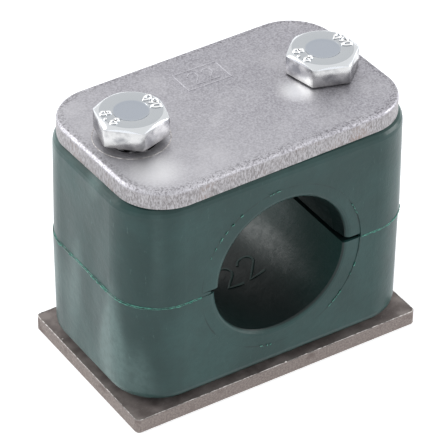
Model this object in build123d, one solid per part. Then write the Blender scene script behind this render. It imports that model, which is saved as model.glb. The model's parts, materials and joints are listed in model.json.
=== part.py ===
from build123d import *
import os
from math import cos, radians, sin, tan

# Tube clamp of the two-bolt block pattern, for a tube of 22 mm outside diameter.
# Units are millimetres. X runs along the long side, Y along the tube, Z is up.
# The origin is the middle of the weld plate's underside.

# Driving dimensions
TUBE_DIAMETER = 22.0
BOLT_PITCH = 33.0
BOLT_DIAMETER = 6.0
BOLT_LENGTH = 40.0

# Weld plate
WELD_LENGTH = 50.0
WELD_WIDTH = 30.0
WELD_THICKNESS = 2.5
WELD_CORNER_RADIUS = 0.8
WELD_EDGE_BREAK = 0.2
COLLAR_RADIUS = 4.6
COLLAR_HEIGHT = 3.5
COLLAR_EDGE_BREAK = 0.5
THREAD_CLEARANCE = 0.03
THREAD_LEAD_IN = 0.6

# Jaws, which are one design from two mould cavities and stand on the collars
JAW_LENGTH = 49.5
JAW_WIDTH = 30.0
JAW_HEIGHT = 17.5
JAW_CORNER_RADIUS = 8.0
JAW_DRAFT_DEG = 0.6
JAW_OUTER_ROUND = 1.5
JAW_PARTING_BREAK = 0.12
BOLT_HOLE_RADIUS = 3.3
COLLAR_RECESS_RADIUS = 5.1
COLLAR_RECESS_DEPTH = 2.5
INSERT_RADIUS = 13.9
INSERT_DEPTH = 0.12
LOWER_GRIP_RELIEF = 0.1
UPPER_GRIP_RELIEF = 0.6
MOUTH_ROUND = 0.9
MOUTH_OFFSET = 0.3
LOWER_MOUTH_DROP = 0.0
UPPER_MOUTH_DROP = 0.45
MOUTH_RUN_OUT = 3.0
JAW_SIDE_SLACK = 0.08

# Cover plate
COVER_LENGTH = 47.6
COVER_WIDTH = 29.4
COVER_THICKNESS = 3.0
COVER_CORNER_RADIUS = 7.5
COVER_TOP_ROLL = 0.6
COVER_HOLE_RADIUS = 3.5
COVER_YAW_DEG = 1.5

# Bolts
HEAD_ACROSS_FLATS = 10.0
HEAD_HEIGHT = 4.0
HEAD_CHAMFER_DEG = 30.0
HEAD_TOP_RADIUS = 4.6
HEAD_DISH_RADIUS = 3.0
HEAD_DISH_DEPTH = 0.35
WASHER_FACE_RADIUS = 4.45
WASHER_FACE_HEIGHT = 0.2
BOLT_TIP_CHAMFER = 0.8
LEFT_BOLT_PROUD = 0.8
LEFT_BOLT_TURN_DEG = 16.0
RIGHT_BOLT_TURN_DEG = 42.0

# Rounded outer edges are turned in this many flats
ROUND_STEPS = 4

# Heights that follow from the dimensions above
COLLAR_TOP_Z = WELD_THICKNESS + COLLAR_HEIGHT
PARTING_Z = COLLAR_TOP_Z - COLLAR_RECESS_DEPTH + JAW_HEIGHT
JAW_TOP_Z = PARTING_Z + JAW_HEIGHT
COVER_TOP_Z = JAW_TOP_Z + COVER_THICKNESS
BORE_RADIUS = TUBE_DIAMETER / 2
BOLT_X = BOLT_PITCH / 2


def at_both_bolts(tool):
    """The tool repeated on the two bolt axes."""
    return [Pos(-BOLT_X, 0, 0) * tool, Pos(BOLT_X, 0, 0) * tool]


def upright(radius, low, high):
    """A cylinder about the Z axis between two heights."""
    return Pos(0, 0, low) * extrude(Circle(radius), high - low)


def weld_plate():
    """A steel plate with two threaded collars drawn up out of it."""
    plate = extrude(RectangleRounded(WELD_LENGTH, WELD_WIDTH, WELD_CORNER_RADIUS), WELD_THICKNESS)
    plate = chamfer(plate.faces().sort_by(Axis.Z)[0].edges(), WELD_EDGE_BREAK)
    for collar in at_both_bolts(upright(COLLAR_RADIUS, WELD_THICKNESS / 2, COLLAR_TOP_Z)):
        plate = plate + collar
    rims = plate.edges().filter_by(GeomType.CIRCLE)
    plate = chamfer(rims.group_by(Axis.Z)[-1], COLLAR_EDGE_BREAK)
    thread_radius = BOLT_DIAMETER / 2 + THREAD_CLEARANCE
    for hole in at_both_bolts(upright(thread_radius, -1, COLLAR_TOP_Z + 1)):
        plate = plate - hole
    mouths = plate.faces().sort_by(Axis.Z)[0].edges().filter_by(GeomType.CIRCLE)
    mouths = mouths.filter_by(lambda edge: edge.radius > WELD_CORNER_RADIUS)
    return chamfer(mouths, THREAD_LEAD_IN)


def rounded_block(length, width, corner_radius, levels):
    """A round-cornered block drawn through levels, each a height and how far the outline is set in there."""
    sections = []
    for height, inset in levels:
        outline = RectangleRounded(length - 2 * inset, width - 2 * inset, corner_radius - inset)
        sections.append(Pos(0, 0, height) * outline)
    return loft(sections, ruled=True)


def edge_round(radius, height, inset, direction):
    """Levels of a quarter round that starts at a height and inset and turns inward, up (1) or down (-1)."""
    levels = []
    for step in range(1, ROUND_STEPS + 1):
        angle = radians(90 * step / ROUND_STEPS)
        levels.append((height + direction * radius * sin(angle), inset + radius * (1 - cos(angle))))
    return levels


def jaw_blank():
    """The jaw's block below its parting face at Z = 0, drafted all round, with its outer edge rounded."""
    round_start = JAW_OUTER_ROUND - JAW_HEIGHT
    draft_inset = -round_start * tan(radians(JAW_DRAFT_DEG))
    levels = [(0, JAW_PARTING_BREAK), (-JAW_PARTING_BREAK, 0), (round_start, draft_inset)]
    levels += edge_round(JAW_OUTER_ROUND, round_start, draft_inset, -1)
    return rounded_block(JAW_LENGTH, JAW_WIDTH, JAW_CORNER_RADIUS, levels)


def bore_mouth(side, drop):
    """The bore's rounded rim at one end. Its core pin sits a little off centre, which runs out further in."""
    rim_radius = BORE_RADIUS + MOUTH_ROUND
    sections = [(-1, rim_radius)]
    for step in range(ROUND_STEPS + 1):
        angle = radians(90 * step / ROUND_STEPS)
        sections.append((MOUTH_ROUND * (1 - cos(angle)), rim_radius - MOUTH_ROUND * sin(angle)))
    face_y = JAW_WIDTH / 2 - INSERT_DEPTH
    circles = []
    for depth, radius in sections:
        circles.append(Plane.XZ.offset(side * (depth - face_y)) * Pos(-MOUTH_OFFSET, -drop) * Circle(radius))
    circles.append(Plane.XZ.offset(side * (MOUTH_RUN_OUT - face_y)) * Circle(BORE_RADIUS))
    return loft(circles, ruled=True)


def jaw(grip_relief, mouth_drop):
    """One moulded half, parting face up at Z = 0, bore along Y."""
    half = jaw_blank()
    half = half - Rot(90, 0, 0) * Cylinder(BORE_RADIUS, JAW_WIDTH + 2)
    for side in (-1, 1):
        ring_depth = Pos(0, side * (JAW_WIDTH / 2 + INSERT_DEPTH), 0)
        half = half - ring_depth * Rot(90, 0, 0) * Cylinder(INSERT_RADIUS, 4 * INSERT_DEPTH)
        half = half - bore_mouth(side, mouth_drop)
    half = half - Box(2 * INSERT_RADIUS, JAW_WIDTH + 2, 2 * grip_relief)
    for hole in at_both_bolts(upright(BOLT_HOLE_RADIUS, -JAW_HEIGHT - 1, 1)):
        half = half - hole
    recess_top = COLLAR_RECESS_DEPTH - JAW_HEIGHT
    for recess in at_both_bolts(upright(COLLAR_RECESS_RADIUS, -JAW_HEIGHT - 1, recess_top)):
        half = half - recess
    return half


def cover_plate():
    """A punched plate: rolled edge on the die side, sharp underneath."""
    roll_start = COVER_THICKNESS - COVER_TOP_ROLL
    levels = [(0, 0), (roll_start, 0)]
    levels += edge_round(COVER_TOP_ROLL, roll_start, 0, 1)
    plate = rounded_block(COVER_LENGTH, COVER_WIDTH, COVER_CORNER_RADIUS, levels)
    for hole in at_both_bolts(upright(COVER_HOLE_RADIUS, -1, COVER_THICKNESS + 1)):
        plate = plate - hole
    rims = plate.faces().sort_by(Axis.Z)[-1].edges().filter_by(GeomType.CIRCLE)
    rims = rims.filter_by(lambda edge: abs(edge.radius - COVER_HOLE_RADIUS) < 0.01)
    return chamfer(rims, COVER_TOP_ROLL / 2)


def bolt_head():
    """A hexagon head above Z = 0 with a washer face, a turned top chamfer and a shallow dish."""
    corner_radius = HEAD_ACROSS_FLATS / 2 / cos(radians(30))
    hexagon = extrude(RegularPolygon(corner_radius, 6), HEAD_HEIGHT)
    drop = (corner_radius - HEAD_TOP_RADIUS) * tan(radians(HEAD_CHAMFER_DEG))
    turned = make_face(
        Polyline(
            (0, 0),
            (WASHER_FACE_RADIUS, 0),
            (WASHER_FACE_RADIUS, WASHER_FACE_HEIGHT),
            (corner_radius, WASHER_FACE_HEIGHT),
            (corner_radius, HEAD_HEIGHT - drop),
            (HEAD_TOP_RADIUS, HEAD_HEIGHT),
            (HEAD_DISH_RADIUS, HEAD_HEIGHT),
            (HEAD_DISH_RADIUS - HEAD_DISH_DEPTH, HEAD_HEIGHT - HEAD_DISH_DEPTH),
            (0, HEAD_HEIGHT - HEAD_DISH_DEPTH),
            close=True,
        )
    )
    return hexagon & revolve(Plane.XZ * turned, Axis.Z)


def bolt():
    """A fully threaded hexagon bolt, its bearing face at Z = 0. The thread is drawn as its major cylinder."""
    shank = upright(BOLT_DIAMETER / 2, -BOLT_LENGTH, 0)
    shank = chamfer(shank.faces().sort_by(Axis.Z)[0].edges(), BOLT_TIP_CHAMFER)
    return bolt_head() + shank


lower = Pos(-JAW_SIDE_SLACK, 0, PARTING_Z) * jaw(LOWER_GRIP_RELIEF, LOWER_MOUTH_DROP)
upper = Pos(JAW_SIDE_SLACK, 0, PARTING_Z) * Rot(0, 180, 0) * jaw(UPPER_GRIP_RELIEF, UPPER_MOUTH_DROP)
left_place = Pos(-BOLT_X, 0, COVER_TOP_Z + LEFT_BOLT_PROUD) * Rot(0, 0, LEFT_BOLT_TURN_DEG)
right_place = Pos(BOLT_X, 0, COVER_TOP_Z) * Rot(0, 0, RIGHT_BOLT_TURN_DEG)

PARTS = {
    "weld_plate": weld_plate(),
    "lower_jaw": lower,
    "upper_jaw": upper,
    "cover_plate": Pos(0, 0, JAW_TOP_Z) * Rot(0, 0, COVER_YAW_DEG) * cover_plate(),
    "left_bolt": left_place * bolt(),
    "right_bolt": right_place * bolt(),
}

os.makedirs("parts", exist_ok=True)
for name, shape in PARTS.items():
    export_step(shape, f"parts/{name}.step")
    print(name, round(shape.volume), "mm3")
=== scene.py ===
# %% [markdown]
# # A two-bolt tube clamp
# A hydraulic tube lies in the round bore between two green plastic jaws. A steel plate under the jaws
# is welded to the machine, a zinc-plated plate lies on top, and two hexagon bolts pull the stack
# together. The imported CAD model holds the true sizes, so everything below starts from it.

# %% Load the fixed frame
import json
import math
import random
import bpy
import bmesh
from mathutils import Matrix, Vector, noise


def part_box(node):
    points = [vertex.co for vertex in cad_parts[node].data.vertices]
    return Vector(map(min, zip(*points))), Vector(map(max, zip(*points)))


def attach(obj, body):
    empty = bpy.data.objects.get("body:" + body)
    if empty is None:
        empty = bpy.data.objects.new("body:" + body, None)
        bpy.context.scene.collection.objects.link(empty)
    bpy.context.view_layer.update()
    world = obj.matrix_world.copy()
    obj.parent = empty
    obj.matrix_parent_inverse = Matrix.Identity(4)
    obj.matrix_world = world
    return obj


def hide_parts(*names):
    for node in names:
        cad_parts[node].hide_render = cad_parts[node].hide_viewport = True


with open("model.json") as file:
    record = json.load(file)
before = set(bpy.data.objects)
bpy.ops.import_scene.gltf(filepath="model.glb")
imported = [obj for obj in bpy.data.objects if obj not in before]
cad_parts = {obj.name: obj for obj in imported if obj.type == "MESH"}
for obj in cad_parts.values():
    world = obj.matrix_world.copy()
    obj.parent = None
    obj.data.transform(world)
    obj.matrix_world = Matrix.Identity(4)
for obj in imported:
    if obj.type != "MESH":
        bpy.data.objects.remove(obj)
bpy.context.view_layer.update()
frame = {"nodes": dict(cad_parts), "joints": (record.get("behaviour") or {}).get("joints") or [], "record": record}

# %% [markdown]
# Blender works in metres and the clamp is small, so lengths are written in millimetres and multiplied
# by `MM`. The levels of the stack are read from the CAD nodes, which keeps this file in step with them.

# %% Sizes read from the frame
MM = 0.001
weld_low, weld_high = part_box("weld_plate")
JAW_FACE_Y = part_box("lower_jaw")[1].y
COVER_TOP_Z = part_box("cover_plate")[1].z
mounts = {mount["name"]: mount for mount in frame["record"]["mounts"]}
BORE_RADIUS = mounts["tube"]["dims"]["r_mm"] * MM
PARTING_Z = mounts["tube"]["pos_m"][2]
turns = {joint["name"]: joint for joint in frame["joints"]}
BOLT_X = turns["right_bolt_turn"]["pos_m"][0]
INSERT_RADIUS = 13.9 * MM
WELD_SURFACE = 2.5 * MM
print("parting line at", round(PARTING_Z / MM, 2), "mm, bore radius", BORE_RADIUS / MM, "mm")

# %% The bolt's sizes
ACROSS_FLATS = 9.86 * MM
HEAD_HEIGHT = 4 * MM
HEAD_SIDES = 96
CORNER_REACH = 5.64 * MM
TOP_RADIUS = 4.6 * MM
WASHER_RADIUS = 4.45 * MM
WASHER_HEIGHT = 0.2 * MM
MARK_RISE = 0.17 * MM
FACE_HEIGHT = HEAD_HEIGHT - MARK_RISE
HOLLOW_RADIUS = 2.75 * MM
HOLLOW_DEPTH = 0.3 * MM
CHAMFER_SLOPE = math.tan(math.radians(30))
THREAD_RADIUS = 3 * MM
THREAD_PITCH = 1 * MM
THREAD_DEPTH = 0.55 * MM
THREAD_FLAT = 0.1
RINGS_A_PITCH = 8
TIP_CHAMFER = 0.8 * MM


# %% [markdown]
# ## Writing materials as expressions
# A procedural material is a tree of nodes. Most of them are sums and products, which read better as
# Python than as a tree. `Wire` wraps one output socket. Adding, multiplying or comparing wires adds
# the Math nodes, and every other kind of node comes from its one method, `node`.

# %% A wire that can be added and multiplied
class Wire:
    def __init__(self, tree, socket):
        self.tree = tree
        self.socket = socket

    def node(self, kind, settings, sockets, output=0):
        made = self.tree.nodes.new(kind)
        for name, value in settings.items():
            if name == "stops":
                fill_ramp(made.color_ramp, value)
            else:
                setattr(made, name, value)
        for name, value in sockets.items():
            if isinstance(value, Wire):
                self.tree.links.new(value.socket, made.inputs[name])
            else:
                made.inputs[name].default_value = value
        return Wire(self.tree, made.outputs[output])

    def math(self, operation, *values):
        return self.node("ShaderNodeMath", {"operation": operation}, dict(enumerate(values)))

    def __add__(self, other):
        return self.math("ADD", self, other)

    def __sub__(self, other):
        return self.math("SUBTRACT", self, other)

    def __rsub__(self, other):
        return self.math("SUBTRACT", other, self)

    def __mul__(self, other):
        return self.math("MULTIPLY", self, other)

    def __truediv__(self, other):
        return self.math("DIVIDE", self, other)

    def __pow__(self, other):
        return self.math("POWER", self, other)

    def __abs__(self):
        return self.math("ABSOLUTE", self)

    __radd__ = __add__
    __rmul__ = __mul__


# %% [markdown]
# A few named helpers keep the expressions short: a colour ramp, a smooth step from 0 to 1 between two
# values, a mix of two colours by a mask, and noise that is stretched by scaling the place it reads.

# %% Helpers for ramps, masks, mixes and noise
def fill_ramp(ramp, stops):
    while len(ramp.elements) < len(stops):
        ramp.elements.new(0.5)
    for element, (position, value) in zip(ramp.elements, stops):
        element.position = position
        element.color = value if hasattr(value, "__len__") else (value, value, value, 1)


def step(wire, low, high):
    """0 where the wire is below low, 1 above high, smooth between. It falls where low is above high."""
    start, end = (low, high) if low < high else (high, low)
    sockets = {"Value": wire, "From Min": start, "From Max": end}
    rising = wire.node("ShaderNodeMapRange", {"interpolation_type": "SMOOTHSTEP"}, sockets)
    return rising if low < high else 1 - rising


def mix(mask, plain, marked):
    """The plain colour where the mask is 0 and the marked one where it is 1."""
    settings = {"data_type": "RGBA"}
    return mask.node("ShaderNodeMix", settings, {0: mask, 6: plain, 7: marked}, output=2)


def stretch(place, amounts):
    return place.node("ShaderNodeVectorMath", {"operation": "MULTIPLY"}, {0: place, 1: amounts})


def grain(place, size_mm, detail=3.0, roughness=0.5):
    """Noise from 0 to 1 whose blotches are about size_mm across."""
    sockets = {"Vector": place, "Scale": 1000 / size_mm, "Detail": detail, "Roughness": roughness}
    return place.node("ShaderNodeTexNoise", {}, sockets)


def split(place):
    parts = place.node("ShaderNodeSeparateXYZ", {}, {"Vector": place})
    outputs = parts.socket.node.outputs
    return [Wire(place.tree, outputs[axis]) for axis in range(3)]


def larger(wire, other):
    return wire.math("MAXIMUM", wire, other)


def from_outline(x, y, half_x, half_y, corner):
    """How far inside a rectangle with round corners a place is, in metres."""
    over_x = larger(abs(x) - (half_x - corner), 0.0)
    over_y = larger(abs(y) - (half_y - corner), 0.0)
    return corner - (over_x * over_x + over_y * over_y) ** 0.5


def spot_mask(x, y, middle_x, middle_y, radius):
    """1 in the middle of a round patch, falling to 0 at its rim."""
    return step(((x - middle_x) ** 2 + (y - middle_y) ** 2) ** 0.5, radius, 0.1 * radius)


def colour(red, green, blue):
    """A colour as seen on a screen, 0 to 255, turned into the linear values that shaders use."""
    return [((v / 255 + 0.055) / 1.055) ** 2.4 if v > 10 else v / 3295 for v in (red, green, blue)] + [1]


# %% [markdown]
# `start` opens a new material and gives back its Principled shader and the place on the piece, read
# in the piece's own coordinates. Those ride with the piece, so nothing slides when a bolt turns.
# `bump` joins a height in metres to the shader's Normal.

# %% Opening and closing a material
def start(name, **constants):
    material = bpy.data.materials.new(name)
    material.use_nodes = True
    tree = material.node_tree
    shader = tree.nodes["Principled BSDF"]
    for socket, value in constants.items():
        shader.inputs[socket.replace("_", " ")].default_value = value
    place = tree.nodes.new("ShaderNodeTexCoord").outputs["Object"]
    return material, shader, Wire(tree, place)


def paint(shader, **wires):
    for socket, wire in wires.items():
        wire.tree.links.new(wire.socket, shader.inputs[socket.replace("_", " ")])


def bump(height, strength=1.0):
    """A normal from a height in millimetres."""
    sockets = {"Height": height, "Strength": strength, "Distance": MM}
    return height.node("ShaderNodeBump", {}, sockets)


# %% [markdown]
# ## The green moulding
# The jaws are moulded in polypropylene coloured dark green. The skin copies a smooth steel mould, so it
# is satin with very fine pits, and thick walls sink a little as they cool, which bends the reflections
# into soft upright bands on the rounded ends; the bands are also painted paler, as painted reflections.
# The bore and the gap beside it are painted darker as painted shade in the hollow, the raised lines in
# the bore are painted lighter as a painted highlight, and a painted shadow runs in the insert ring's groove.
# All of it is one material, because the place on the jaw says which region it is.

# %% Green polypropylene
def green_moulding():
    material, shader, place = start("green_moulding", IOR=1.49, Specular_IOR_Level=0.36)
    x, y, z = split(place)
    from_axis = ((x * x) + (z - PARTING_Z) ** 2) ** 0.5
    # Painted shade: the bore and the gap beside it are marked out here to be painted darker, as shade in the
    # hollow.
    inside = step(from_axis, BORE_RADIUS + 0.35 * MM, BORE_RADIUS + 0.02 * MM)
    in_gap = step(from_axis, INSERT_RADIUS, INSERT_RADIUS - 0.05 * MM) * step(abs(y), 14.6 * MM, 14.3 * MM)
    inside = larger(inside, in_gap)
    cloud = grain(place, 9)
    fine = grain(place, 0.35, detail=2)
    skin = mix(step(cloud, 0.35, 0.7), colour(28, 58, 55), colour(40, 71, 68))
    sunken = grain(stretch(place, (1, 1, 0.3)), 6, detail=0)
    on_end = step(abs(x), 19 * MM, 24 * MM)
    # Painted reflection: over the sunken waves the ends are painted paler in soft upright bands.
    painted_sheen_bands = step(sunken, 0.42, 0.66) * on_end
    skin = mix(painted_sheen_bands * 0.65, skin, colour(104, 128, 124))
    mottle = step(grain(place, 1.2, detail=4, roughness=0.7), 0.35, 0.7)
    skin = mix(mottle * 0.3, skin, colour(28, 52, 50))
    # Pale upright streaks, strongest on the ends, a little rougher and raised.
    pale_streaks = step(grain(stretch(place, (1, 1, 0.3)), 0.6, detail=5, roughness=0.7), 0.62, 0.75)
    skin = mix(pale_streaks * 0.35 * (0.4 + 0.6 * on_end), skin, colour(110, 138, 132))
    # Painted shade in the bore and the gap.
    skin = mix(inside, skin, colour(17, 30, 29))
    # Painted highlight: the raised lines in the bore are painted lighter than the painted bore shade.
    raised = step(from_axis, BORE_RADIUS - 0.02 * MM, BORE_RADIUS - 0.09 * MM)
    skin = mix(raised, skin, colour(36, 62, 58))
    # Painted shadow in the groove round the insert ring, in broken stretches.
    ring_groove_shadow = step(abs(from_axis - INSERT_RADIUS), 0.16 * MM, 0.02 * MM)
    ring_groove_shadow = ring_groove_shadow * step(grain(place, 3), 0.42, 0.6)
    skin = mix(ring_groove_shadow * 0.8 * (1 - inside), skin, colour(20, 40, 38))
    paint(shader, Base_Color=skin)
    paint(shader, Roughness=0.28 + 0.1 * cloud + 0.12 * pale_streaks + 0.1 * inside * mottle)
    height = 0.8 * sunken * on_end + 0.25 * cloud + 0.02 * mottle + 0.004 * fine + 0.012 * pale_streaks
    paint(shader, Normal=bump(height, 0.6))
    return material


# %% [markdown]
# ## Steel finishes
# The cover plate is punched from strip and barrel-plated with zinc: dull violet grey on top with tiny
# dark specks, and on its sheared edge a brighter band with upright tear marks from the punch.

# %% Zinc for the cover plate
COVER_TURN = math.radians(1.5)
COVER_HALF_X = 23.8 * MM
COVER_HALF_Y = 14.7 * MM
COVER_CORNER = 7.5 * MM


def zinc_plate():
    material, shader, place = start("zinc_plate", Metallic=0.9)
    x, y, z = split(place)
    along = x * math.cos(COVER_TURN) + y * math.sin(COVER_TURN)
    across = y * math.cos(COVER_TURN) - x * math.sin(COVER_TURN)
    inward = from_outline(along, across, COVER_HALF_X, COVER_HALF_Y, COVER_CORNER)
    edge = step(z, COVER_TOP_Z - 0.3 * MM, COVER_TOP_Z - 0.75 * MM)
    cloud = grain(place, 5)
    fine = grain(place, 0.3, detail=4, roughness=0.75)
    top = mix(step(fine, 0.32, 0.68), colour(148, 146, 153), colour(192, 191, 197))
    # Painted light: the top is painted lighter towards the front left, falling off to the back right; random
    # cloudy patches share the same pale tone.
    painted_light_falloff = step(x + 0.6 * y, 8 * MM, -26 * MM)
    top = mix(0.45 * painted_light_falloff + 0.3 * step(cloud, 0.45, 0.75), top, colour(208, 207, 211))
    # Two round patches beside the bolts, near white and a little smoother.
    bright_patches = spot_mask(x, y, -18.0 * MM, -9.0 * MM, 5.5 * MM)
    bright_patches = bright_patches + spot_mask(x, y, 10.2 * MM, -2.8 * MM, 4 * MM) * 1.3
    top = mix(bright_patches * 0.65, top, colour(244, 244, 246))
    pitted = step(inward, 1.7 * MM, 0.7 * MM) * step(fine, 0.52, 0.4)
    top = mix(pitted * 0.55, top, colour(92, 88, 92))
    tears = grain(stretch(place, (1, 1, 0.35)), 0.22, detail=4, roughness=0.7)
    side = mix(step(tears, 0.3, 0.7), colour(118, 114, 114), colour(180, 178, 180))
    stained = step(cloud, 0.5, 0.72) * step(tears, 0.55, 0.4)
    side = mix(stained * 0.5, side, colour(168, 148, 138))
    # Painted highlight on top of the stamp's raised lines, and painted shade just at their foot.
    stamp_painted_lit = step(z, COVER_TOP_Z + 0.03 * MM, COVER_TOP_Z + 0.06 * MM)
    beside = step(z, COVER_TOP_Z + 0.002 * MM, COVER_TOP_Z + 0.008 * MM) * (1 - stamp_painted_lit)
    top = mix(stamp_painted_lit * 0.35, mix(beside * 0.4, top, colour(104, 102, 108)), colour(226, 226, 230))
    paint(shader, Base_Color=mix(edge, top, side))
    paint(shader, Roughness=0.4 + 0.14 * fine - 0.1 * bright_patches + 0.2 * (stamp_painted_lit + beside))
    height = 0.02 * fine + 0.03 * tears * edge + 0.02 * cloud
    paint(shader, Normal=bump(height, 0.8))
    return material


# %% [markdown]
# The bolts are bright zinc, each built about its own axis with the seat of its head at height zero. The
# hollow and the flat round it are bluish, with painted shade making the hollow a little darker. The turned
# cone is painted brightest as a painted highlight, and the flats are cloudy and painted darker near the
# seat as a painted reflection of the plate. The raised marks are painted bright on top as a painted
# highlight and dark at their foot as painted shade.

# %% Bright zinc for the bolts
def zinc_bolt():
    material, shader, place = start("zinc_bolt", Metallic=1.0)
    x, y, z = split(place)
    from_axis = (x * x + y * y) ** 0.5
    cloud = grain(place, 2.2)
    fine = grain(place, 0.25, detail=3)
    flats = mix(step(cloud, 0.35, 0.65), colour(138, 139, 142), colour(204, 204, 203))
    # Painted reflection: the flats are painted darker near the seat, as the darker plate mirrored in them.
    flats = mix(step(z, 1.6 * MM, 0.1 * MM) * 0.6, flats, colour(116, 114, 112))
    # Painted highlight: the turned cone is painted brightest. Painted shade: the hollow is painted a little darker
    # than the flat round it.
    cone = step(from_axis, TOP_RADIUS - 0.1 * MM, TOP_RADIUS + 0.05 * MM)
    cone = cone * step(z, FACE_HEIGHT - 0.75 * MM, FACE_HEIGHT - 0.6 * MM)
    in_hollow = step(from_axis, HOLLOW_RADIUS, HOLLOW_RADIUS * 0.9)
    top = mix(in_hollow, colour(190, 194, 198), colour(174, 180, 189))
    # Painted shade at the foot of the raised marks and a painted highlight on their tops.
    top = mix(step(z, FACE_HEIGHT + 0.01 * MM, FACE_HEIGHT + 0.03 * MM), top, colour(112, 118, 126))
    top = mix(step(z, FACE_HEIGHT + 0.07 * MM, FACE_HEIGHT + 0.11 * MM), top, colour(248, 249, 250))
    on_top = step(from_axis, TOP_RADIUS + 0.03 * MM, TOP_RADIUS) * step(z, 2.0 * MM, 2.4 * MM)
    shade = mix(on_top, mix(cone, flats, colour(216, 219, 222)), top)
    shade = mix(step(z, 0.0, -0.2 * MM), shade, colour(150, 150, 152))
    paint(shader, Base_Color=shade)
    paint(shader, Roughness=0.12 + 0.1 * fine + 0.06 * cloud)
    paint(shader, Normal=bump(0.02 * cloud + 0.006 * fine, 0.7))
    return material


# %% [markdown]
# The weld plate is bare rolled steel with a thin dark phosphate coat, which stays clean for welding.
# Its sheared sides are blotched with brown.

# %% Phosphated steel for the weld plate
def phosphated_steel():
    material, shader, place = start("phosphated_steel", Metallic=0.6)
    x, y, z = split(place)
    fine = grain(place, 0.3, detail=4, roughness=0.75)
    cloud = grain(place, 3, detail=4)
    side = step(z, WELD_SURFACE - 0.05 * MM, WELD_SURFACE - 0.2 * MM)
    top = mix(step(cloud, 0.3, 0.7), colour(108, 99, 96), colour(150, 141, 137))
    flank = mix(step(fine, 0.25, 0.75), colour(112, 102, 98), colour(160, 150, 144))
    flank = mix(step(cloud, 0.55, 0.7) * 0.5, flank, colour(92, 76, 70))
    shade = mix(side, top, flank)
    shade = mix(step(fine, 0.6, 0.72) * 0.4, shade, colour(196, 188, 182))
    paint(shader, Base_Color=shade)
    paint(shader, Roughness=0.5 + 0.2 * fine)
    paint(shader, Normal=bump(0.03 * fine + 0.02 * cloud, 0.8))
    return material


# %% [markdown]
# Flash is a skin of plastic squeezed out between the mould's halves. It is so thin that light goes
# through it, and that light is painted in: the flash is painted a brighter green than the body. Where
# steel burrs or stamped edges stand up, the coat has worn off them and bare metal shows.

# %% Thin flash and bare burrs
def green_flash():
    material, shader, place = start("green_flash", IOR=1.49)
    fine = grain(place, 0.4)
    # Painted light: the flash is painted a brighter green, standing in for light passing through it.
    paint(shader, Base_Color=mix(step(fine, 0.3, 0.7), colour(52, 112, 98), colour(108, 178, 158)))
    paint(shader, Roughness=0.3 + 0.2 * fine)
    paint(shader, Normal=bump(0.02 * fine, 0.6))
    return material


def bare_burr():
    material, shader, place = start("bare_burr", Metallic=0.8)
    fine = grain(place, 0.5, detail=4)
    paint(shader, Base_Color=mix(step(fine, 0.3, 0.65), colour(138, 130, 126), colour(230, 226, 222)))
    paint(shader, Roughness=0.4 + 0.2 * fine)
    paint(shader, Normal=bump(0.02 * fine, 0.6))
    return material


# %% Give each CAD node its finish
FINISHES = {
    "green_moulding": green_moulding(),
    "zinc_plate": zinc_plate(),
    "zinc_bolt": zinc_bolt(),
    "phosphated_steel": phosphated_steel(),
}
for subpart in frame["record"]["subparts"]:
    node = frame["nodes"][subpart["node"]]
    node.data.materials.clear()
    node.data.materials.append(FINISHES[subpart["material_slot"]])
    print(node.name, "is finished in", subpart["material_slot"])
FLASH = green_flash()
BURR = bare_burr()

# %% [markdown]
# ## Building small pieces
# The small pieces are made in two ways. Turned ones are stacks of rings with the same number of points,
# joined by four-sided faces. Raised marks, burrs and flash are tubes that follow a line and may grow
# thinner or thicker on the way, half sunk in the surface that carries them.

# %% Rings, tubes and pieces
def bridge(rings, closed):
    """Points and faces that join rings of the same number of points, capped at both ends unless closed."""
    count = len(rings[0])
    points = [point for ring in rings for point in ring]
    faces = []
    spans = len(rings) if closed else len(rings) - 1
    for index in range(spans):
        this = index * count
        after = (index + 1) % len(rings) * count
        for k in range(count):
            faces.append((this + k, this + (k + 1) % count, after + (k + 1) % count, after + k))
    if not closed:
        faces.append(tuple(reversed(range(count))))
        faces.append(tuple(range(len(points) - count, len(points))))
    return points, faces


def tube(path, across, outward, closed=False, sides=6):
    """A tube along points. Across gives half its width and half its height at each, outward its upright."""
    rings = []
    for index, point in enumerate(path):
        before = path[index - 1] if closed or index > 0 else point
        after = path[(index + 1) % len(path)] if closed or index < len(path) - 1 else point
        up = outward[index].normalized()
        sideways = (after - before).cross(up).normalized()
        width, height = across[index]
        ring = []
        for k in range(sides):
            angle = 2 * math.pi * k / sides
            ring.append(point + width * math.cos(angle) * sideways + height * math.sin(angle) * up)
        rings.append(ring)
    return bridge(rings, closed)


def piece(name, shells, material, body, placing=Matrix.Identity(4)):
    """One piece made of shells of points and faces, shaded smooth except over sharp edges."""
    points = []
    faces = []
    for shell_points, shell_faces in shells:
        start_index = len(points)
        points.extend(shell_points)
        faces.extend(tuple(start_index + k for k in face) for face in shell_faces)
    data = bpy.data.meshes.new(name)
    data.from_pydata(points, [], faces)
    shaper = bmesh.new()
    shaper.from_mesh(data)
    bmesh.ops.recalc_face_normals(shaper, faces=shaper.faces)
    shaper.to_mesh(data)
    shaper.free()
    data.polygons.foreach_set("use_smooth", [True] * len(data.polygons))
    data.set_sharp_from_angle(angle=math.radians(38))
    data.materials.append(material)
    made = bpy.data.objects.new(name, data)
    bpy.context.scene.collection.objects.link(made)
    made.matrix_world = placing
    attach(made, body)
    print(name, len(faces), "faces, rides on", body)
    return made


# %% [markdown]
# ## The bolts
# A bolt head is cold forged: a bar end is squeezed into a hexagonal die, which leaves slightly rounded
# corners, a shallow hollow in the top and raised marks beside it, and the top corners are then turned
# to a cone. The thread is rolled. Its turns are a ridge that winds up the shank by one pitch a turn,
# so the radius at any place follows from the height and the angle alone.

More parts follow.
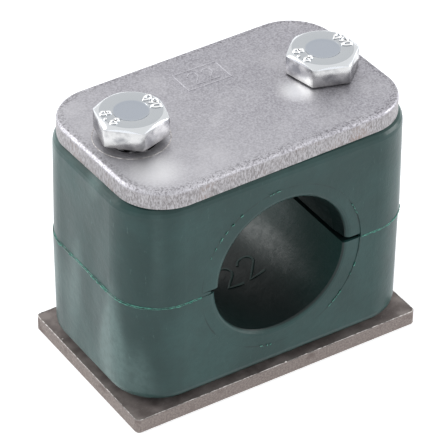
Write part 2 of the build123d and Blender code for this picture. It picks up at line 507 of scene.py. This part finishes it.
# %% Rings of a bolt about its own axis
def hexagon_reach(angle):
    """How far the head's side is from the axis, with the corners a little rounded."""
    from_flat = (math.degrees(angle) % 60) - 30
    flat = ACROSS_FLATS / 2 / math.cos(math.radians(from_flat))
    return min(flat, CORNER_REACH)


def ring(reach, height):
    """Points about the axis. Reach and height may be numbers or functions of the angle."""
    points = []
    for k in range(HEAD_SIDES):
        angle = 2 * math.pi * k / HEAD_SIDES
        radius = reach(angle) if callable(reach) else reach
        level = height(angle) if callable(height) else height
        points.append(Vector((radius * math.cos(angle), radius * math.sin(angle), level)))
    return points


def head_rings():
    """From the middle of the top, out over the hollow's rim and the cone, down the flats to the seat."""
    rings = [ring(0.05 * MM, FACE_HEIGHT - HOLLOW_DEPTH)]
    for share in (0.35, 0.7, 0.88):
        rings.append(ring(HOLLOW_RADIUS * share, FACE_HEIGHT - HOLLOW_DEPTH))
    rings.append(ring(HOLLOW_RADIUS * 0.96, FACE_HEIGHT - 0.6 * HOLLOW_DEPTH))
    rings.append(ring(HOLLOW_RADIUS * 1.02, FACE_HEIGHT - 0.15 * HOLLOW_DEPTH))
    rings.append(ring(HOLLOW_RADIUS * 1.1, FACE_HEIGHT))
    rings.append(ring(TOP_RADIUS - 0.25 * MM, FACE_HEIGHT))
    rings.append(ring(TOP_RADIUS, FACE_HEIGHT - 0.05 * MM))

    def shoulder(angle):
        return FACE_HEIGHT - 0.05 * MM - (hexagon_reach(angle) - TOP_RADIUS) * CHAMFER_SLOPE

    def just_inside(angle):
        return hexagon_reach(angle) - 0.05 * MM

    def under_edge(angle):
        return hexagon_reach(angle) - 0.08 * MM

    rings.append(ring(just_inside, lambda angle: shoulder(angle) + 0.03 * MM))
    rings.append(ring(hexagon_reach, lambda angle: shoulder(angle) - 0.05 * MM))
    rings.append(ring(hexagon_reach, WASHER_HEIGHT + 0.08 * MM))
    rings.append(ring(under_edge, WASHER_HEIGHT))
    rings.append(ring(WASHER_RADIUS, WASHER_HEIGHT))
    rings.append(ring(WASHER_RADIUS - 0.04 * MM, 0))
    rings.append(ring(THREAD_RADIUS, 0))
    return rings


def thread_rings(length):
    """Down the rolled thread to the tip. The ridge fades out under the head and over the tip's cone."""
    rings = []
    step_down = THREAD_PITCH / RINGS_A_PITCH
    for index in range(1, round(length / step_down)):
        level = -index * step_down
        start_share = min(1, -level / THREAD_PITCH)
        cone = max(0, TIP_CHAMFER - (length + level))

        def reach(angle):
            turn = (level / THREAD_PITCH - angle / (2 * math.pi)) % 1
            flank = (0.5 - THREAD_FLAT / 2 - abs(turn - 0.5)) / (0.5 - THREAD_FLAT)
            groove = max(0, min(1, flank))
            return min(THREAD_RADIUS - THREAD_DEPTH * start_share * groove, THREAD_RADIUS - cone)

        rings.append(ring(reach, level))
    rings.append(ring(THREAD_RADIUS - TIP_CHAMFER, -length))
    return rings


# %% [markdown]
# The forged marks are plain numbers, the strength grade on one side and the thread size on the other.
# Each digit is a line in a box one unit high, laid on a level arc beside the hollow.

# %% Digits as lines
def arc(middle_x, middle_y, radius_x, radius_y, first, last, count=18):
    """Points of a level arc between two angles in degrees."""
    points = []
    for k in range(count + 1):
        angle = math.radians(first + (last - first) * k / count)
        points.append((middle_x + radius_x * math.cos(angle), middle_y + radius_y * math.sin(angle)))
    return points


DIGITS = {
    "8": [arc(0, 0.74, 0.22, 0.22, 0, 360), arc(0, 0.26, 0.26, 0.26, 0, 360)],
    "6": [arc(0, 0.28, 0.27, 0.28, 0, 360), arc(0.2, 0.3, 0.46, 0.68, 180, 108)],
    "0": [arc(0, 0.5, 0.27, 0.5, 0, 360)],
    "2": [arc(0, 0.72, 0.27, 0.27, 165, -35) + [(-0.28, 0.0), (0.3, 0.0)]],
    ".": [arc(0, 0.08, 0.06, 0.06, 0, 360, 6)],
}


def mark(text, height, place_of, line, rise):
    """Tubes for a row of digits. place_of turns a place in the row into a point and its upright."""
    shells = []
    spacing = 0.82
    for index, digit in enumerate(text):
        column = (index - (len(text) - 1) / 2) * spacing
        for stroke in DIGITS[digit]:
            spots = [place_of(height * (column + x), height * (y - 0.5)) for x, y in stroke]
            path = [spot[0] for spot in spots]
            outward = [spot[1] for spot in spots]
            loop = (path[0] - path[-1]).length < 0.001 * MM
            if loop:
                path, outward = path[:-1], outward[:-1]
            shells.append(tube(path, [(line, rise)] * len(path), outward, closed=loop))
    return shells


# %% Build both bolts
MARK_RADIUS = 3.72 * MM
MARK_HEIGHT = 1.5 * MM
MARK_LINE = 0.23 * MM


def head_mark(text, direction):
    """Digits on the head's top, on an arc round the axis, read from outside."""
    def place_of(along, upward):
        angle = direction + along / MARK_RADIUS
        radius = MARK_RADIUS - upward
        spot = Vector((radius * math.cos(angle), radius * math.sin(angle), FACE_HEIGHT))
        return spot, Vector((0, 0, 1))
    return mark(text, MARK_HEIGHT, place_of, MARK_LINE, MARK_RISE)


def bolt(node, axis_x, turn_deg, mark_deg):
    low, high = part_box(node)
    seat = high.z - HEAD_HEIGHT
    shells = [bridge(head_rings() + thread_rings(seat - low.z), closed=False)]
    shells += head_mark("8.8", math.radians(mark_deg))
    shells += head_mark("060", math.radians(mark_deg + 180))
    placing = Matrix.Translation((axis_x, 0, seat)) @ Matrix.Rotation(math.radians(turn_deg), 4, "Z")
    made = piece(node + "_forged", shells, FINISHES["zinc_bolt"], node, placing)
    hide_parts(node)
    return made


LEFT_TURN_DEG = 16
RIGHT_TURN_DEG = 42
MARKS_FACE_DEG = 182
bolt("left_bolt", -BOLT_X, LEFT_TURN_DEG, MARKS_FACE_DEG - LEFT_TURN_DEG)
bolt("right_bolt", BOLT_X, RIGHT_TURN_DEG, MARKS_FACE_DEG - RIGHT_TURN_DEG)

# %% [markdown]
# ## Flash on the jaws
# Each jaw's outline at the parting plane is a rectangle with round corners. A fin of flash follows it,
# a few hundredths of a millimetre thick. It is torn off by hand, so what is left is ragged: its reach
# comes from two scales of noise, and it is missing wherever they are low.

# %% The outline that the flash follows
JAW_CORNER = 8 * MM


def rounded_outline(low, high, corner, spacing):
    """Points and outward directions round a level rectangle with round corners, from the middle of +X."""
    reach_x = (high.x - low.x) / 2 - corner
    reach_y = (high.y - low.y) / 2 - corner
    middle = (low + high) / 2
    runs = []
    for turn, (side_x, side_y) in enumerate(((1, 1), (-1, 1), (-1, -1), (1, -1))):
        for k in range(round(corner * math.pi / 2 / spacing)):
            angle = math.pi / 2 * (turn + k * spacing / (corner * math.pi / 2))
            outward = Vector((math.cos(angle), math.sin(angle), 0))
            runs.append((Vector((side_x * reach_x, side_y * reach_y, 0)) + corner * outward, outward))
        along_x = turn % 2 == 0
        length = 2 * (reach_x if along_x else reach_y)
        outward = Vector((0, side_y, 0)) if along_x else Vector((side_x, 0, 0))
        travel = Vector((-side_x, 0, 0)) if along_x else Vector((0, -side_y, 0))
        begin = Vector((side_x * reach_x, side_y * reach_y, 0)) + corner * outward
        for k in range(round(length / spacing)):
            runs.append((begin + k * spacing * travel, outward))
    return [(Vector((middle.x, middle.y, 0)) + spot, outward) for spot, outward in runs]


def noise_at(point, size_mm, seed):
    """Smooth noise from 0 to 1 whose bumps are about size_mm across."""
    return 0.5 + 0.5 * noise.noise(Vector(point) / (size_mm * MM) + Vector((seed, 2.3 * seed, 5.1 * seed)))


# %% Fins along the parting edges
FLASH_SPACING = 0.16 * MM


def ragged_reach(spot, seed):
    """How far the torn edge stands out at a place, in metres."""
    ragged = noise_at(spot, 0.7, seed)
    patch = noise_at(spot, 5.0, seed + 7)
    return max(0.012, min(0.13, 0.7 * (ragged * patch - 0.2))) * MM


def beside_bore(outline, side):
    """The part of the outline on one side of the bore. On the right it starts anew at the front."""
    run = [spot for spot in outline if side * spot[0].x > INSERT_RADIUS]
    if side < 0:
        return run
    cut = next(k for k in range(1, len(run)) if run[k][0].y < 0 < run[k - 1][0].y)
    return run[cut:] + run[:cut]


def parting_flash(name, node, body, level, seed):
    low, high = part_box(node)
    shells = []
    for side in (-1, 1):
        run = beside_bore(rounded_outline(low, high, JAW_CORNER, FLASH_SPACING), side)
        path = []
        across = []
        for spot, outward in run:
            reach = ragged_reach(spot, seed)
            wander = 0.12 * MM * (noise_at(spot, 1.6, seed + 3) - 0.5)
            path.append(Vector((spot.x, spot.y, level + wander)))
            across.append((0.025 * MM + 0.25 * reach, reach))
        shells.append(tube(path, across, [outward for spot, outward in run], sides=6))
    piece(name, shells, FLASH, body)


parting_flash("lower_flash", "lower_jaw", "base", PARTING_Z - 0.09 * MM, 1)
parting_flash("upper_flash", "upper_jaw", "top", PARTING_Z + 0.1 * MM, 4)


# %% A skin that half closes the gap beside the bore
SKIN_START = 14.0 * MM
SKIN_LENGTH = 1.7 * MM
SKIN_DEPTH = 14.86 * MM
SKIN_LIFT = 0.26 * MM


def gap_skin():
    """The upper jaw is relieved beside the bore. On the front left a torn skin bridges the outer part."""
    path = []
    across = []
    for k in range(13):
        share = k / 12
        reach = SKIN_START - SKIN_LENGTH * share
        spot = Vector((-reach, -SKIN_DEPTH, PARTING_Z + SKIN_LIFT))
        path.append(spot)
        torn = 1 - 0.55 * share * share - 0.12 * noise_at(spot, 0.4, 11)
        across.append((0.34 * MM * torn, 0.03 * MM))
    piece("gap_skin", [tube(path, across, [Vector((0, -1, 0))] * 13)], FINISHES["green_moulding"],
          "top")


gap_skin()

# %% [markdown]
# The bore's insert is a ring let into the mould, which is swapped for each tube size. Plastic creeps
# into the joint round it and is picked off, leaving crumbs and short curls along the ring on both ends.

# %% Crumbs round the insert ring
def crumbs(name, body, clusters, seed):
    """Short curls on both ends of a jaw. Each cluster is an angle, its spread in degrees and a count."""
    dice = random.Random(seed)
    shells = []
    for side in (-1, 1):
        face_y = side * (JAW_FACE_Y - 0.01 * MM)
        for middle_deg, spread_deg, count in clusters:
            for patch in range(count):
                angle = math.radians(dice.gauss(middle_deg, spread_deg))
                length = dice.uniform(0.15, 0.9) * MM
                bulge = dice.uniform(0.02, 0.07) * MM
                path = []
                across = []
                for k in range(7):
                    share = k / 6
                    turn = angle + (share - 0.5) * length / INSERT_RADIUS
                    radius = INSERT_RADIUS + dice.uniform(-0.1, 0.08) * MM
                    level = PARTING_Z + radius * math.sin(turn)
                    path.append(Vector((radius * math.cos(turn), face_y, level)))
                    taper = 0.15 + math.sin(math.pi * share)
                    across.append((bulge * taper, min(bulge * taper, 0.09 * MM)))
                shells.append(tube(path, across, [Vector((0, side, 0))] * 7, sides=5))
    piece(name, shells, FLASH, body)


UPPER_CLUSTERS = [(140, 10, 12), (90, 6, 5), (20, 5, 5)]
LOWER_CLUSTERS = [(-42, 6, 9), (-100, 5, 5), (-20, 4, 3)]
crumbs("upper_crumbs", "top", UPPER_CLUSTERS, 5)
crumbs("lower_crumbs", "base", LOWER_CLUSTERS, 8)

# %% [markdown]
# The core that forms the bore carries the tube size, which stands up from the lower jaw's wall as low
# rounded lines.

# %% The tube size in the bore
BORE_MARK_HEIGHT = 4.8 * MM
BORE_MARK_LINE = 0.26 * MM
BORE_MARK_RISE = 0.16 * MM


def bore_mark(text, along_y, wall_deg):
    """Digits on the bore's wall, read along the wall's slope."""
    def place_of(along, upward):
        angle = math.radians(wall_deg) + along / BORE_RADIUS
        outward = Vector((-math.cos(angle), 0, -math.sin(angle)))
        spot = Vector((0, along_y + upward, PARTING_Z)) - BORE_RADIUS * outward
        return spot, outward
    return mark(text, BORE_MARK_HEIGHT, place_of, BORE_MARK_LINE, BORE_MARK_RISE)


piece("bore_size", bore_mark("22", -1.0 * MM, -82), FINISHES["green_moulding"], "base")

# %% [markdown]
# ## Burrs and stamped edges on the plates
# The weld plate is sheared from strip, which raises a thin burr along its top edges. It has been rubbed
# bright here and there. A nib is left where the shear began a new bite, and a second on a short side.

# %% Burr along the weld plate
WELD_CORNER = 0.8 * MM
BURR_INSET = 0.09 * MM
NIBS = ((0.97, -14.9, 0.9, 0.1, 0.2), (-24.6, 7.66, 0.5, -0.2, 0.14))


def weld_burr():
    path = []
    across = []
    inset = Vector((BURR_INSET, BURR_INSET, 0))
    run = rounded_outline(weld_low + inset, weld_high - inset, WELD_CORNER, 0.2 * MM)
    for spot, outward in run:
        worn = noise_at(spot, 0.9, 3) * noise_at(spot, 6.0, 9)
        height = max(0.015, min(0.09, 0.45 * (worn - 0.12))) * MM
        path.append(Vector((spot.x, spot.y, WELD_SURFACE)))
        across.append((0.05 * MM + 0.3 * height, height))
    piece("weld_burr", [tube(path, across, [Vector((0, 0, 1))] * len(path), closed=True)], BURR,
          "base")


def weld_nibs():
    """Torn bits of metal: where each is, how long it is each way and how high, in millimetres."""
    shells = []
    for x, y, run_x, run_y, height in NIBS:
        path = []
        across = []
        for k in range(9):
            share = k / 8
            path.append(Vector((x + (share - 0.5) * run_x, y + (share - 0.5) * run_y, 0)) * MM)
            path[-1].z = WELD_SURFACE
            lump = math.sin(math.pi * share) * (0.6 + 0.4 * math.cos(9 * share))
            across.append((0.03 * MM + 0.12 * MM * lump, 0.02 * MM + height * MM * lump))
        shells.append(tube(path, across, [Vector((0, 0, 1))] * 9))
    piece("weld_nibs", shells, BURR, "base")


weld_burr()
weld_nibs()

# %% [markdown]
# The cover plate's stamped place holds a plain frame with the tube size. Round the left bolt the head
# has once been pulled down hard, and its rim has left a fine bright ring in the zinc.

# %% Marks on the cover plate
STAMP_PLACE = Vector((0.4 * MM, 7.8 * MM, COVER_TOP_Z))
STAMP_LINE = 0.13 * MM
STAMP_RISE = 0.09 * MM
WITNESS_RADIUS = 5.7 * MM


def stamp():
    def place_of(along, upward):
        return STAMP_PLACE + Vector((along, upward, 0)), Vector((0, 0, 1))

    frame_corners = [(-3.7, -2.3), (3.7, -2.3), (3.7, 2.3), (-3.7, 2.3)]
    path = [place_of(x * MM, y * MM)[0] for x, y in frame_corners]
    border = []
    for index, corner in enumerate(path):
        for k in range(6):
            border.append(corner.lerp(path[(index + 1) % 4], k / 6))
    shells = [tube(border, [(STAMP_LINE, STAMP_RISE)] * 24, [Vector((0, 0, 1))] * 24, closed=True)]
    shells += mark("22", 3.0 * MM, place_of, STAMP_LINE, STAMP_RISE)
    piece("cover_stamp", shells, FINISHES["zinc_plate"], "top")


def witness_ring():
    path = []
    across = []
    for k in range(120):
        angle = 2 * math.pi * k / 120
        worn = noise_at((10 * MM * math.cos(angle), 10 * MM * math.sin(angle), 0), 4, 6)
        across_x = WITNESS_RADIUS * math.cos(angle)
        path.append(Vector((-BOLT_X + across_x, WITNESS_RADIUS * math.sin(angle), COVER_TOP_Z)))
        across.append((0.05 * MM, 0.05 * MM * worn))
    loop = tube(path, across, [Vector((0, 0, 1))] * len(path), closed=True)
    piece("witness_ring", [loop], BURR, "top")


stamp()
witness_ring()

# %% [markdown]
# ## The camera
# A long lens from the front left, a little over head height. The angles are those at which a product
# is usually shown: both the bore and the top can be seen.

# %% Camera
CAMERA_AZIMUTH = math.radians(-32.87)
CAMERA_ELEVATION = math.radians(36.46)
CAMERA_ROLL = math.radians(0.58)
CAMERA_DISTANCE = 452.65 * MM
CAMERA_TARGET = Vector((-0.89, 0, 20.11)) * MM
CAMERA_LENS = 244.9

back = Vector((
    math.sin(CAMERA_AZIMUTH) * math.cos(CAMERA_ELEVATION),
    -math.cos(CAMERA_AZIMUTH) * math.cos(CAMERA_ELEVATION),
    math.sin(CAMERA_ELEVATION),
))
camera = bpy.data.objects.new("camera", bpy.data.cameras.new("camera"))
camera.data.lens = CAMERA_LENS
camera.data.clip_start = 10 * MM
camera.data.clip_end = 10
facing = (-back).to_track_quat("-Z", "Y").to_matrix().to_4x4()
spot = Matrix.Translation(CAMERA_TARGET + CAMERA_DISTANCE * back)
camera.matrix_world = spot @ facing @ Matrix.Rotation(CAMERA_ROLL, 4, "Z")
bpy.context.scene.collection.objects.link(camera)
bpy.context.scene.camera = camera
print("camera at", [round(v, 3) for v in camera.location])

# %% [markdown]
# ## Floor and light
# The clamp stands on a pale studio table. Two soft lamps and the world light it at a plain level. The
# white background is the floor's and the world's own colour, seen by the camera and mirrored in metal,
# and not more light on the clamp.

# %% Floor
def seen_directly(tree):
    """1 for what the camera sees straight, in metal or through glass, and 0 for what lights the clamp."""
    path = tree.nodes.new("ShaderNodeLightPath")
    rays = [Wire(tree, path.outputs[f"Is {kind} Ray"]) for kind in ("Camera", "Glossy", "Transmission")]
    return larger(larger(rays[0], rays[1]), rays[2])


def make_floor():
    bpy.ops.mesh.primitive_plane_add(size=6, location=(0, 0, weld_low.z - 0.02 * MM))
    floor = bpy.context.object
    floor.name = "floor"
    material, shader, place = start("studio_table", Roughness=0.9)
    shader.inputs["Base Color"].default_value = (0.86, 0.86, 0.86, 1)
    shader.inputs["Specular IOR Level"].default_value = 0.0
    glow = place.node("ShaderNodeEmission", {}, {"Color": (1, 1, 1, 1), "Strength": 0.5})
    ray = seen_directly(place.tree)
    both = place.node("ShaderNodeAddShader", {}, {0: Wire(place.tree, shader.outputs[0]), 1: glow})
    seen = {0: ray, 1: Wire(place.tree, shader.outputs[0]), 2: both}
    choice = place.node("ShaderNodeMixShader", {}, seen)
    place.tree.links.new(choice.socket, place.tree.nodes["Material Output"].inputs["Surface"])
    floor.data.materials.append(material)
    return floor


make_floor()


# %% World and lamps
def make_world():
    world = bpy.data.worlds.new("studio")
    bpy.context.scene.world = world
    world.use_nodes = True
    tree = world.node_tree
    lit = tree.nodes["Background"]
    lit.inputs["Color"].default_value = (0.93, 0.95, 1, 1)
    lit.inputs["Strength"].default_value = 0.85
    seen = tree.nodes.new("ShaderNodeBackground")
    seen.inputs["Color"].default_value = (1, 1, 1, 1)
    seen.inputs["Strength"].default_value = 1.0
    choice = tree.nodes.new("ShaderNodeMixShader")
    tree.links.new(seen_directly(tree).socket, choice.inputs[0])
    tree.links.new(lit.outputs[0], choice.inputs[1])
    tree.links.new(seen.outputs[0], choice.inputs[2])
    tree.links.new(choice.outputs[0], tree.nodes["World Output"].inputs["Surface"])


def soft_lamp(name, position, size, power):
    """A square lamp that faces the clamp."""
    lamp = bpy.data.objects.new(name, bpy.data.lights.new(name, "AREA"))
    lamp.data.size = size
    lamp.data.energy = power
    lamp.location = position
    lamp.rotation_mode = "QUATERNION"
    lamp.rotation_quaternion = (Vector(position) - CAMERA_TARGET).to_track_quat("Z", "Y")
    bpy.context.scene.collection.objects.link(lamp)
    print(name, power, "W")


make_world()
soft_lamp("lamp_left", (-0.45, 0.4, 0.36), 0.38, 2.2)
soft_lamp("lamp_right", (0.5, -0.25, 0.2), 0.25, 1.3)
bpy.context.scene.view_settings.view_transform = "Standard"
